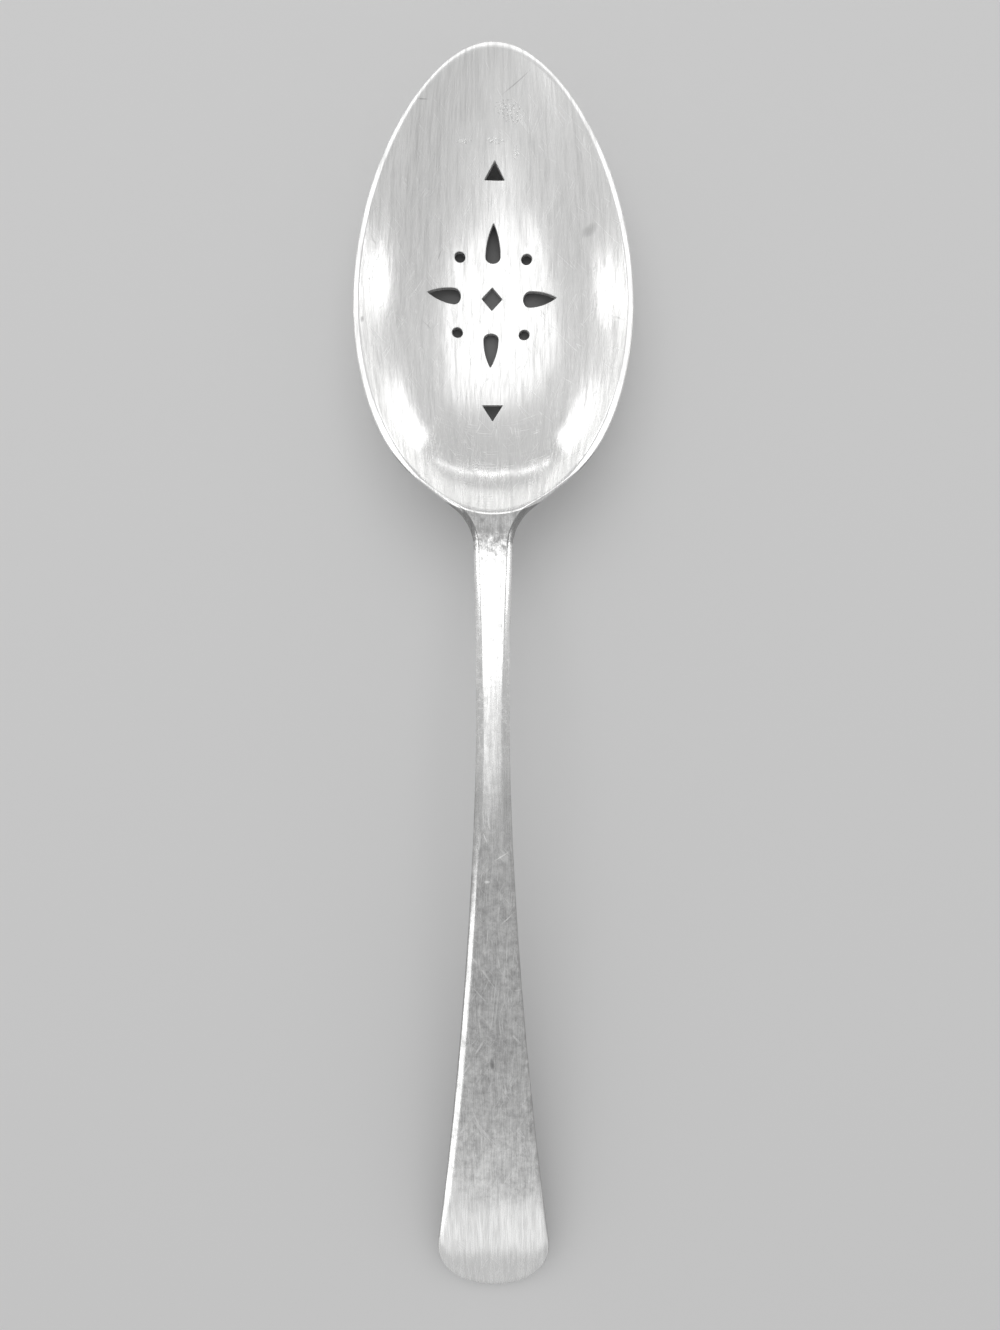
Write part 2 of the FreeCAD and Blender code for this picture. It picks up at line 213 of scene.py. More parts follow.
# A smooth line through (place, size) stops: cubics with matching curvature, and end slopes from the cubic
# through the last four stops. It runs on straight past its ends.
def smoothThrough(stops):
    x, v = np.array(sorted(stops)).T
    h, d = np.diff(x), np.diff(v) / np.diff(x)
    system = np.diag(np.concatenate([[1], 2 / h[1:] + 2 / h[:-1], [1]]))
    system += np.diag(np.concatenate([[0], 1 / h[1:]]), 1) + np.diag(np.concatenate([1 / h[:-1], [0]]), -1)
    sides = np.concatenate([[0], 3 * (d[1:] / h[1:] + d[:-1] / h[:-1]), [0]])
    sides[0] = np.polyfit(x[:4] - x[0], v[:4], 3)[2]
    sides[-1] = np.polyfit(x[-4:] - x[-1], v[-4:], 3)[2]
    slopes = np.linalg.solve(system, sides)

    def at(place):
        i = np.clip(np.searchsorted(x, place) - 1, 0, len(h) - 1)
        held = np.clip(place, x[0], x[-1])
        t = (held - x[i]) / h[i]
        smooth = (v[i] * (1 + 2 * t) + h[i] * slopes[i] * t) * (1 - t) ** 2
        smooth += (v[i + 1] * (3 - 2 * t) - h[i] * slopes[i + 1] * (1 - t)) * t**2
        return smooth + (place - held) * np.where(place < x[0], slopes[0], slopes[-1])

    return at


# Even change from the stem's end to its neck.
def alongStem(pair, y):
    return np.interp(y, [endY, neckY], pair)


# 1 before start, 0 after start plus length, and a smooth step between.
def fade(y, start, length):
    share = np.clip((y - start) / length, 0, 1)
    return 1 - share**2 * (3 - 2 * share)


# The lower of two heights, with the edge between them rounded off over a width.
def softLower(a, b, width):
    near = np.maximum(0, 1 - np.abs(a - b) / width)
    return np.minimum(a, b) - near**2 * width / 4


outlineRight, shoulderTopY = rightOutline()
faceStops = [(lipY + (endY - lipY) * share, rise) for share, rise in spoonSizes["stemRises"]]
faceStops += zip(
    (neckY, lipY, tipY + (lipY - tipY) * spoonSizes["bowlBackShare"], hollowY, tipY),
    [spoonSizes["rises"][name] for name in ("neck", "lip", "bowlBack")] + [0, spoonSizes["rises"]["tip"]],
)
faceLine = smoothThrough(
    [(endY, spoonSizes["thickness"]["end"])] + [(place, rimHeight + rise) for place, rise in faceStops]
)


# The face: its line along the spoon, less a crown across the stem that grows with the square of x.
def faceHeight(x, y):
    crown = spoonSizes["crown"] * (x / stemHalfWidth(np.minimum(y, neckY))) ** 2
    fadeLength = spoonSizes["heel"]["fade"]
    return faceLine(y) - crown * fade(y, neckY - fadeLength, fadeLength)


# How far the bevel lies under the face: a square law of the distance out from its foot, negative further in.
def bevelDrop(inward, y):
    bevel = spoonSizes["bevel"]
    width, height = alongStem(bevel["width"], y), alongStem(bevel["height"], y)
    rounding = bevel["rounding"]
    foot = width * (1 - np.maximum(0, y - lipY) / bevel["runOut"])
    outward = np.maximum(foot - inward, -1)
    return height * outward * (1 + rounding * outward) / (width * (1 + rounding * width))


# Rise of the bowl's dish, 0 at its floor and 1 at its rim: an egg's square distance, mixed with that squared.
def dishRise(x, y, growth):
    hollow = spoonSizes["hollow"]
    t = (y - hollowY) / (hollowReach + growth)
    across = x / (spoonSizes["bowl"]["width"] / 2 - spoonSizes["rim"]["width"] + growth)
    share = t**2 + across**2 * (1 + hollow["lean"] * t + hollow["squareness"] * t**2)
    return share * (1 - hollow["wallShare"] + hollow["wallShare"] * share)


# Upper side of the spoon: the lowest of the face, the bevel and the hollow, with eased edges between them.
def topHeight(points):
    x, y = points.T
    face = faceHeight(x, y)
    bevelled = np.flatnonzero(y < lipY + spoonSizes["bevel"]["runOut"] + spoonSizes["bevel"]["pastRunOut"])
    inward = distanceTo(points[bevelled], stemLoop)
    cut = face[bevelled] - bevelDrop(inward, y[bevelled])
    face[bevelled] = softLower(face[bevelled], cut, spoonSizes["bevelRounding"])
    hollow = faceLine(y) - spoonSizes["hollow"]["depth"] * (1 - dishRise(x, y, 0))
    return softLower(face, hollow, spoonSizes["rimRounding"])


# Underside: the face line less the bowl's dish or the stem's ridged thickness, whichever is deeper.
def backHeight(points):
    x, y = points.T
    edgeHeight, fadeLength = spoonSizes["rim"]["edge"], spoonSizes["heel"]["fade"]
    dish = edgeHeight + (rimHeight - edgeHeight) * (1 - dishRise(x, y, spoonSizes["rim"]["width"]))
    ridge = np.exp(-((x / (spoonSizes["ridgeShare"] * stemHalfWidth(np.minimum(y, neckY)))) ** 4))
    thickness = [spoonSizes["thickness"][name] for name in ("end", "flank", "neck")]
    middle = np.interp(y, [endY, flankY, neckY], thickness)
    edge = alongStem(spoonSizes["edgeThickness"], y)
    stay = fade(y, lipY, shoulderTopY - lipY)
    stem = edgeHeight + (edge + (middle - edge) * ridge - edgeHeight) * stay
    stem = stem - rimHeight * (1 - fade(y, shoulderTopY, fadeLength))
    return faceLine(y) + softLower(-dish, -stem, spoonSizes["heel"]["blend"])


# Upward unit normals of a height by central differences.
def heightNormals(height, points):
    step = 0.01
    slopes = [(height(points + side) - height(points - side)) / (2 * step) for side in np.eye(2) * step]
    normals = np.stack([-slopes[0], -slopes[1], np.ones(len(points))], 1)
    return normals / np.linalg.norm(normals, axis=1)[:, None]


# Sizes of the piercings in millimetres and degrees, around a centre in the bowl's floor.
piercingSizes = {
    "share": 0.497, "offset": -0.3,
    "longTurn": -1.3, "heelTriangleTurn": 0.3, "crossTurn": -2.4,
    "diamond": (3.7, 4.2),
    "tipDrop": (6.9, 2.65, 6.3), "heelDrop": (6.4, 2.65, 6.3), "sideDrop": (5.9, 2.9, 5.6),
    "dropEndShare": 0.8,
    "dot": 1.9, "dotAcross": 5.95, "dotAlong": 6.75, "dotShift": 0.25,
    "triangle": (3.65, 3.1), "tipTriangleGap": 19.95, "heelTriangleGap": 19.85,
    "cornerRadius": 0.1, "edgeRadius": 0.12,
}


# A drop that points along y: half an oval at its blunt end, and two arcs that meet at its tip.
def dropLoop(length, width, gap):
    half = width / 2
    belly = gap + half * piercingSizes["dropEndShare"]
    tip, left, right = np.array([[0, gap + length], [-half, belly], [half, belly]])
    reach = gap + length - belly
    inset = np.array([(reach**2 + half**2) / (2 * half), 0])
    counts = meshSteps["piercingCounts"]
    angle = np.linspace(np.pi, 2 * np.pi, counts["end"])
    end = np.stack([half * np.cos(angle), belly + (belly - gap) * np.sin(angle)], 1)
    sides = [
        arcPoints(right - inset, right, tip, counts["side"]),
        arcPoints(left + inset, tip, left, counts["side"])[1:],
    ]
    return np.concatenate(sides + [end[1:-1]])


# A closed loop turned by an angle and moved to the piercings' centre.
def placedLoop(loop, turn):
    c, s = np.cos(np.radians(turn)), np.sin(np.radians(turn))
    centre = [piercingSizes["offset"], tipY - spoonSizes["bowl"]["length"] * piercingSizes["share"]]
    return loop @ np.array([[c, s], [-s, c]]) + centre


# A closed loop with its corners eased: walked evenly, each point the bell-weighted mean of its neighbours.
def easedLoop(loop):
    step = meshSteps["fineLoop"]
    fine = walked(np.concatenate([loop, loop[:1]]), lambda p: step)[:-1]
    reach = np.arange(-meshSteps["fineReach"], meshSteps["fineReach"] + 1)
    weights = np.exp(-((reach * step / piercingSizes["cornerRadius"]) ** 2))
    fine = sum(w * np.roll(fine, k, 0) for w, k in zip(weights / weights.sum(), reach))
    return walked(np.concatenate([fine, fine[:1]]), lambda p: meshSteps["piercing"])[:-1]


# All the piercings as loops that run clockwise, so that the opening lies to the right of travel.
def piercingLoops():
    longTurn, crossTurn = piercingSizes["longTurn"], piercingSizes["crossTurn"]
    across, along = np.array(piercingSizes["diamond"]) / 2
    width, length = piercingSizes["triangle"]

    def triangle(gap):
        return np.array([[-width / 2, gap], [width / 2, gap], [0, gap + length]])

    loops = [
        placedLoop(np.array([[across, 0], [0, along], [-across, 0], [0, -along]]), longTurn),
        placedLoop(dropLoop(*piercingSizes["tipDrop"]), longTurn),
        placedLoop(dropLoop(*piercingSizes["heelDrop"]), longTurn + 180),
        placedLoop(dropLoop(*piercingSizes["sideDrop"]), crossTurn + 90),
        placedLoop(dropLoop(*piercingSizes["sideDrop"]), crossTurn - 90),
        placedLoop(triangle(piercingSizes["tipTriangleGap"]), longTurn),
        placedLoop(triangle(piercingSizes["heelTriangleGap"]), piercingSizes["heelTriangleTurn"] + 180),
    ]
    angle = np.linspace(0, 2 * np.pi, meshSteps["piercingCounts"]["dot"], endpoint=False)
    ring = np.stack([np.cos(angle), np.sin(angle)], 1) * piercingSizes["dot"] / 2
    for x in (-1, 1):
        for y in (-1, 1):
            at = [x * piercingSizes["dotAcross"], y * piercingSizes["dotAlong"] + piercingSizes["dotShift"]]
            loops.append(placedLoop(ring + at, (longTurn + crossTurn) / 2))
    return [easedLoop(loop)[::-1] for loop in loops]


# Normals of a closed loop to the right of travel.
def rightOf(loop):
    ahead = np.roll(loop, -1, 0) - np.roll(loop, 1, 0)
    return np.stack([ahead[:, 1], -ahead[:, 0]], 1) / np.hypot(*ahead.T)[:, None]


# Step of the mesh along the outline, closer at the shoulders, the tip and the end.
def edgeStep(points):
    y = points[:, 1]
    middle, reach = meshSteps["shoulderBand"]
    atEnds = (y > tipY - meshSteps["tipBand"]) | (y < endY + meshSteps["endBand"])
    step = np.where(atEnds, meshSteps["edgeAtEnds"], meshSteps["edge"])
    return np.where(np.abs(y - middle) < reach, meshSteps["edgeAtShoulders"], step)


# The outline's loop runs round against the clock from the tip, down the left side.
rightWalk = walked(outlineRight, edgeStep)
outlineLoop = np.concatenate([rightWalk * [-1, 1], rightWalk[-2:0:-1]])
stemLoop = outlineLoop[outlineLoop[:, 1] < lipY + spoonSizes["stemLoopPastLip"]]
outlineOut = rightOf(outlineLoop)


# Distance of a ring from the outline: it widens with the bevel, but stays off the middle of the narrow stem.
def ringReach(ring, y):
    bevel = spoonSizes["bevel"]["width"]
    wide = ring * alongStem(bevel, y) / bevel[1]
    narrow = (y > endY + meshSteps["narrowFromEnd"]) & (y < neckY)
    return np.where(narrow, np.minimum(wide, stemHalfWidth(y) - meshSteps["ringToMiddle"]), wide)


# Rows of points along the lip, at steps off the lower part of the dish's egg. The egg's size at an angle is
# divided again and again by the root of the rise there, until the rise is 1.
def lipRows(clearance):
    angle = np.linspace(*np.radians(meshSteps["lipTurns"]), meshSteps["lipCount"])
    across, along = np.cos(angle), np.sin(angle)
    start = meshSteps["lipStart"]
    egg = 1 / np.sqrt(dishRise(across * start, hollowY + along * start, 0) + 1e-9)
    for _ in range(12):
        egg = egg / np.sqrt(dishRise(across * start * egg, hollowY + along * start * egg, 0))
    rows = []
    for row in meshSteps["lipRows"]:
        size = egg * start + row
        points = np.stack([across * size, hollowY + along * size], 1)
        rows.append(points[distanceTo(points, outlineLoop) > clearance])
    return np.concatenate(rows)


# A field of even triangles, without the points near the outline's rings, the lip's rows and the piercings.
def fieldPoints(rows, piercings):
    step = meshSteps["field"]
    alongRows = np.arange(endY, tipY, step * meshSteps["fieldRow"])
    x, y = np.meshgrid(np.arange(*meshSteps["fieldAcross"], step), alongRows)
    x = x + step / 2 * (np.arange(len(x)) % 2)[:, None]
    field = np.stack([x.ravel(), y.ravel()], 1)
    field = field[np.abs(field[:, 0]) < np.interp(field[:, 1], rightWalk[::-1, 1], rightWalk[::-1, 0])]
    inner = ringReach(meshSteps["rings"][-1], field[:, 1]) + meshSteps["fieldToRings"]
    field = field[distanceTo(field, outlineLoop) > inner]
    pastLip, reach = meshSteps["lipBand"]
    close = np.flatnonzero(np.abs(field[:, 1] - lipY - pastLip) < reach)
    near = np.full(len(field), np.inf)
    for part in np.array_split(close, 8):
        near[part] = np.sqrt(np.min(np.sum((field[part][:, None] - rows) ** 2, 2), 1))
    field = field[near > meshSteps["fieldToLip"]]
    for loop in piercings:
        field = field[~inside(field, loop) & (distanceTo(field, loop) > meshSteps["fieldToPiercing"])]
    return field


# Points of the mesh from above, boundary loops first: the outline's and the piercings', each set back by its
# edge's radius; then rings inside the outline, which stop at the spoon's middle, rows along the lip, rings
# round the piercings, and a field.
def planPoints():
    piercings = piercingLoops()
    borders = [outlineLoop - outlineOut * spoonSizes["edgeRadius"]]
    borders += [loop - rightOf(loop) * piercingSizes["edgeRadius"] for loop in piercings]
    reach = [ringReach(ring, outlineLoop[:, 1])[:, None] for ring in meshSteps["rings"]]
    side = np.sign(outlineLoop[:, 0])
    rings = [outlineLoop - outlineOut * distance for distance in reach]
    rings = [ring[np.abs(np.abs(ring[:, 0]) - ring[:, 0] * side) < 0.01] for ring in rings]
    rows = lipRows(reach[-1].min() + meshSteps["lipToRings"])
    around = [loop - rightOf(loop) * ring for loop in piercings for ring in meshSteps["piercingRings"]]
    return borders, np.concatenate(rings + [rows] + around + [fieldPoints(rows, piercings)]), piercings


# Triangles between the plan's points, without those outside the outline or in a piercing, counter-clockwise.
def planTriangles(borders, points):
    starts = np.cumsum([0] + [len(loop) for loop in borders])
    edges = np.concatenate([
        np.stack([np.arange(a, b), np.roll(np.arange(a, b), -1)], 1) for a, b in zip(starts, starts[1:])
    ])
    made = geometry.delaunay_2d_cdt(points.tolist(), edges.tolist(), [], 0, 1e-7, False)
    assert len(made[0]) == len(points), "points of the plan coincide"
    triangles = np.array(made[2])
    middle = points[triangles].mean(1)
    right = borders[0][borders[0][:, 0] > -1e-6]
    right = right[np.argsort(right[:, 1])]
    keep = np.abs(middle[:, 0]) < np.interp(middle[:, 1], right[:, 1], right[:, 0], -1, -1)
    for loop in borders[1:]:
        near = np.flatnonzero(np.hypot(*(middle - loop.mean(0)).T) < meshSteps["piercingReach"])
        keep[near] &= ~inside(middle[near], loop)
    triangles = triangles[keep]
    side = points[triangles[:, 1:]] - points[triangles[:, :1]]
    backward = side[:, 0, 0] * side[:, 1, 1] < side[:, 0, 1] * side[:, 1, 0]
    return np.where(backward[:, None], triangles[:, ::-1], triangles)


# Rows of an edge between a loop's upper and lower points: quarter rounds at its top and bottom, each sunk
# from the height above it by one less the cosine.
def edgeRows(border, out, radius):
    outer = border + out * radius
    depth = np.minimum(radius, meshSteps["edgeShare"] * (topHeight(outer) - backHeight(outer)))
    upper, lower = [], []
    for a in np.radians(meshSteps["edgeTurns"]):
        at = border + out * radius * np.sin(a)
        upper.append(np.column_stack([at, topHeight(at) - depth * (1 - np.cos(a))]))
        lower.append(np.column_stack([at, backHeight(at) + depth * (1 - np.cos(a))]))
    return upper + lower[::-1]


# Which way each vertex faces: the sum, over the faces round it, of the cross product of their diagonals.
def facing(vertices, shapes):
    total = np.zeros_like(vertices)
    for shape in shapes:
        corners = vertices[shape]
        across = np.cross(corners[:, 2] - corners[:, 0], corners[:, -1] - corners[:, 1])
        for k in range(shape.shape[1]):
            np.add.at(total, shape[:, k], across)
    return total


# The whole spoon: plan triangles at the upper heights, the same reversed at the lower ones, and edges
# between. The upper and lower normals come from the heights, and those of the edges from their faces.
def spoonMesh():
    borders, free, piercings = planPoints()
    points = np.concatenate(borders + [free])
    triangles = planTriangles(borders, points)
    count = len(points)
    vertices = [np.column_stack([points, topHeight(points)]), np.column_stack([points, backHeight(points)])]
    quads, total, start = [], 2 * count, 0
    outs = [outlineOut] + [rightOf(loop) for loop in piercings]
    for i, (border, out) in enumerate(zip(borders, outs)):
        rows = edgeRows(border, out, spoonSizes["edgeRadius"] if i == 0 else piercingSizes["edgeRadius"])
        size = len(border)
        own = start + np.arange(size)
        ladder = [own] + [total + k * size + np.arange(size) for k in range(len(rows))] + [own + count]
        for above, below in zip(ladder, ladder[1:]):
            quads.append(np.stack([above, below, np.roll(below, -1), np.roll(above, -1)], 1))
        vertices += rows
        total += len(rows) * size
        start += size
    vertices = np.concatenate(vertices)
    quads = np.concatenate(quads)
    faces = np.concatenate([triangles, triangles[:, ::-1] + count])
    normals = facing(vertices, (faces, quads))
    normals[:count] = heightNormals(topHeight, points)
    normals[count:2 * count] = -heightNormals(backHeight, points)
    return vertices, faces, quads, normals / np.linalg.norm(normals, axis=1)[:, None]


# A mesh object from vertices in millimetres, triangles, quads and a normal for each vertex.
def shownMesh(name, vertices, faces, quads, normals):
    mesh = bpy.data.meshes.new(name)
    mesh.vertices.add(len(vertices))
    mesh.vertices.foreach_set("co", (vertices / 1000).astype(np.float32).ravel())
    loops = np.concatenate([faces.ravel(), quads.ravel()])
    mesh.loops.add(len(loops))
    mesh.loops.foreach_set("vertex_index", loops.astype(np.int32))
    sizes = np.concatenate([np.full(len(faces), 3), np.full(len(quads), 4)])
    mesh.polygons.add(len(sizes))
    mesh.polygons.foreach_set("loop_start", np.concatenate([[0], np.cumsum(sizes)[:-1]]).astype(np.int32))
    mesh.update(calc_edges=True)
    mesh.polygons.foreach_set("use_smooth", np.ones(len(sizes), bool))
    mesh.normals_split_custom_set_from_vertices(normals.astype(np.float32).tolist())
    made = bpy.data.objects.new(name, mesh)
    bpy.context.scene.collection.objects.link(made)
    return made


vertices, faces, quads, normals = spoonMesh()
spoon = shownMesh("pierced_spoon_finished", vertices, faces, quads, normals)
print("spoon:", len(vertices), "vertices,", len(faces) + 2 * len(quads), "triangles")
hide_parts("pierced_spoon")
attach(spoon, "root")


# The nodes of one material or world. A node is added by its type, its settings by name, its inputs by socket.
class Look:
    def __init__(self, owner):
        owner.use_nodes = True
        self.tree = owner.node_tree
        self.tree.nodes.clear()

    def add(self, kind, settings, values):
        made = self.tree.nodes.new(kind)
        for name, value in settings.items():
            setattr(made, name, value)
        for key, value in values.items():
            if isinstance(value, Wire):
                self.tree.links.new(value.socket, made.inputs[key])
            else:
                made.inputs[key].default_value = value
        return [Wire(self, socket) for socket in made.outputs]

    def maths(self, operation, *values):
        return self.add("ShaderNodeMath", {"operation": operation}, dict(enumerate(values)))[0]

    def smooth(self, value, low, high):
        stops = {"Value": value, "From Min": low, "From Max": high}
        return self.add("ShaderNodeMapRange", {"interpolation_type": "SMOOTHSTEP"}, stops)[0]

    def noise(self, vector, detail=2.0, roughness=0.5):
        values = {"Vector": vector, "Scale": 1.0, "Detail": detail, "Roughness": roughness}
        return self.add("ShaderNodeTexNoise", {}, values)[0]

    def vector(self, x, y, z=0.0):
        return self.add("ShaderNodeCombineXYZ", {}, {0: x, 1: y, 2: z})[0]

    def mixed(self, share, first, second):
        return self.add("ShaderNodeMixShader", {}, {0: share, 1: first, 2: second})[0]

    def parts(self, wire):
        return self.add("ShaderNodeSeparateXYZ", {}, {0: wire})


# A socket that is added, multiplied and so on with the usual signs.
class Wire:
    def __init__(self, look, socket):
        self.look, self.socket = look, socket

    def __add__(self, other):
        return self.look.maths("ADD", self, other)

    def __radd__(self, other):
        return self.look.maths("ADD", other, self)

    def __sub__(self, other):
        return self.look.maths("SUBTRACT", self, other)

    def __rsub__(self, other):
        return self.look.maths("SUBTRACT", other, self)

    def __mul__(self, other):
        return self.look.maths("MULTIPLY", self, other)

    def __rmul__(self, other):
        return self.look.maths("MULTIPLY", other, self)

    def __truediv__(self, other):
        return self.look.maths("DIVIDE", self, other)

    def __rtruediv__(self, other):
        return self.look.maths("DIVIDE", other, self)

    def most(self, other):
        return self.look.maths("MAXIMUM", self, other)

    def least(self, other):
        return self.look.maths("MINIMUM", self, other)


# A value that goes from a first to a second by a share.
def between(share, first, second):
    return first + share * (second - first)


# Floor, light and camera in metres. A lamp is (place, aim, size, radiance, roll in degrees), and radiance 1
# shows as white where it is mirrored. Only the wide lamps light the floor; the others are for the metal to
# mirror. The camera looks straight down: its focal length is 1000 pixels, for a picture 1330 high.
stageLooks = {
    "floor": {"tone": 0.78, "size": 8, "drop": 0.00004},
    # Painted shade on the floor: its colour is darker in an oval under the bowl, where the bowl's shadow
    # falls.
    "paintedShadeUnderBowl": {
        "tone": 0.17, "slope": 0.6, "least": 0.3, "most": 1.7,
        "place": (0, 0.069), "size": (0.017, 0.03), "edge": (0.6, 1.1),
    },
    "sky": 0.5,
    "lamps": {
        "softbox": ((-0.07, 0.5, 0.866), (0, 0, 0), (1.12, 0.76), 1.1, 0),
        "near_softbox": ((-0.09, 0.03, 1.0), (0, 0.02, 0), (0.52, 0.31), 0.62, 0),
        "far_strip": ((0, 1.1, 0.179), (0, 0.036, 0.01), (0.31, 0.018), 3.2, 0),
        "left_strip": ((-0.312, 1.09, 0.13), (0, 0.036, 0.01), (0.33, 0.018), 3, -15),
        "right_strip": ((0.312, 1.09, 0.13), (0, 0.036, 0.01), (0.33, 0.018), 3, 15),
        "left_window": ((-0.94, 0.41, 0.12), (0, 0.06, 0), (0.16, 0.3), 4.4, 0),
        "right_window": ((0.95, 0.375, 0.12), (0, 0.06, 0), (0.16, 0.3), 4.4, 0),
        "left_corner": ((-0.66, 0.82, 0.12), (0, 0.06, 0), (0.34, 0.22), 1.8, 0),
        "right_corner": ((0.66, 0.82, 0.12), (0, 0.06, 0), (0.34, 0.22), 1.8, 0),
        "bevel_strip": ((-0.76, -0.64, 0.38), (0, -0.06, 0), (0.7, 0.34), 1.5, 0),
        "low_card": ((0, -1.14, 0.45), (0, -0.1, 0), (1.6, 0.56), 0.4, 0),
    },
    "wideLamps": ("softbox", "near_softbox"),
    "camera": {"place": (0.00113, 0.0033, 0.1804), "sensor": 36, "focal": 1000, "height": 1330, "clip": 0.01},
}


# A rectangular lamp, rolled about its own axis. Its power is its radiance times its area times pi.
def areaLamp(name, place, aim, size, radiance, roll):
    lamp = bpy.data.lights.new(name, "AREA")
    lamp.shape = "RECTANGLE"
    lamp.size, lamp.size_y = size
    lamp.energy = radiance * size[0] * size[1] * np.pi
    shown = bpy.data.objects.new(name, lamp)
    shown.location = place
    towards = (Vector(aim) - Vector(place)).to_track_quat("-Z", "Y")
    shown.rotation_euler = (towards @ Quaternion((0, 0, 1), np.radians(roll))).to_euler()
    shown.visible_camera, shown.visible_diffuse = False, name in stageLooks["wideLamps"]
    bpy.context.scene.collection.objects.link(shown)


# The floor: pale and dull, with painted shade in an oval under the bowl, where the bowl's own shadow falls.
# The tone of that painted shade falls evenly from the oval's near side to its far side.
def floorLook():
    material = bpy.data.materials.new("pale_floor")
    look = Look(material)
    x, y, _ = look.parts(look.add("ShaderNodeTexCoord", {}, {})[3])
    under = stageLooks["paintedShadeUnderBowl"]
    across = (x - under["place"][0]) / under["size"][0]
    along = (y - under["place"][1]) / under["size"][1]
    clear = look.smooth(across * across + along * along, *under["edge"])
    # The floor's colour inside the oval is painted shade.
    paintedFloorShade = (1 - along * under["slope"]).most(under["least"]).least(under["most"]) * under["tone"]
    tone = between(clear, paintedFloorShade, stageLooks["floor"]["tone"])
    dull = look.add("ShaderNodeBsdfDiffuse", {}, {"Color": look.vector(tone, tone, tone)})[0]
    look.add("ShaderNodeOutputMaterial", {}, {0: dull})
    return material


floorSizes = stageLooks["floor"]
bpy.ops.mesh.primitive_plane_add(size=floorSizes["size"], location=(0, 0, -floorSizes["drop"]))
floor = bpy.context.object
floor.name = "floor"
floor.data.materials.append(floorLook())
for name, sizes in stageLooks["lamps"].items():
    areaLamp(name, *sizes)

world = bpy.data.worlds.new("pale_room")
bpy.context.scene.world = world
room = Look(world)
sky = room.add("ShaderNodeBackground", {}, {0: (1, 1, 1, 1), 1: stageLooks["sky"]})[0]
room.add("ShaderNodeOutputWorld", {}, {0: sky})
print("stage: floor, room and", len(stageLooks["lamps"]), "lamps")

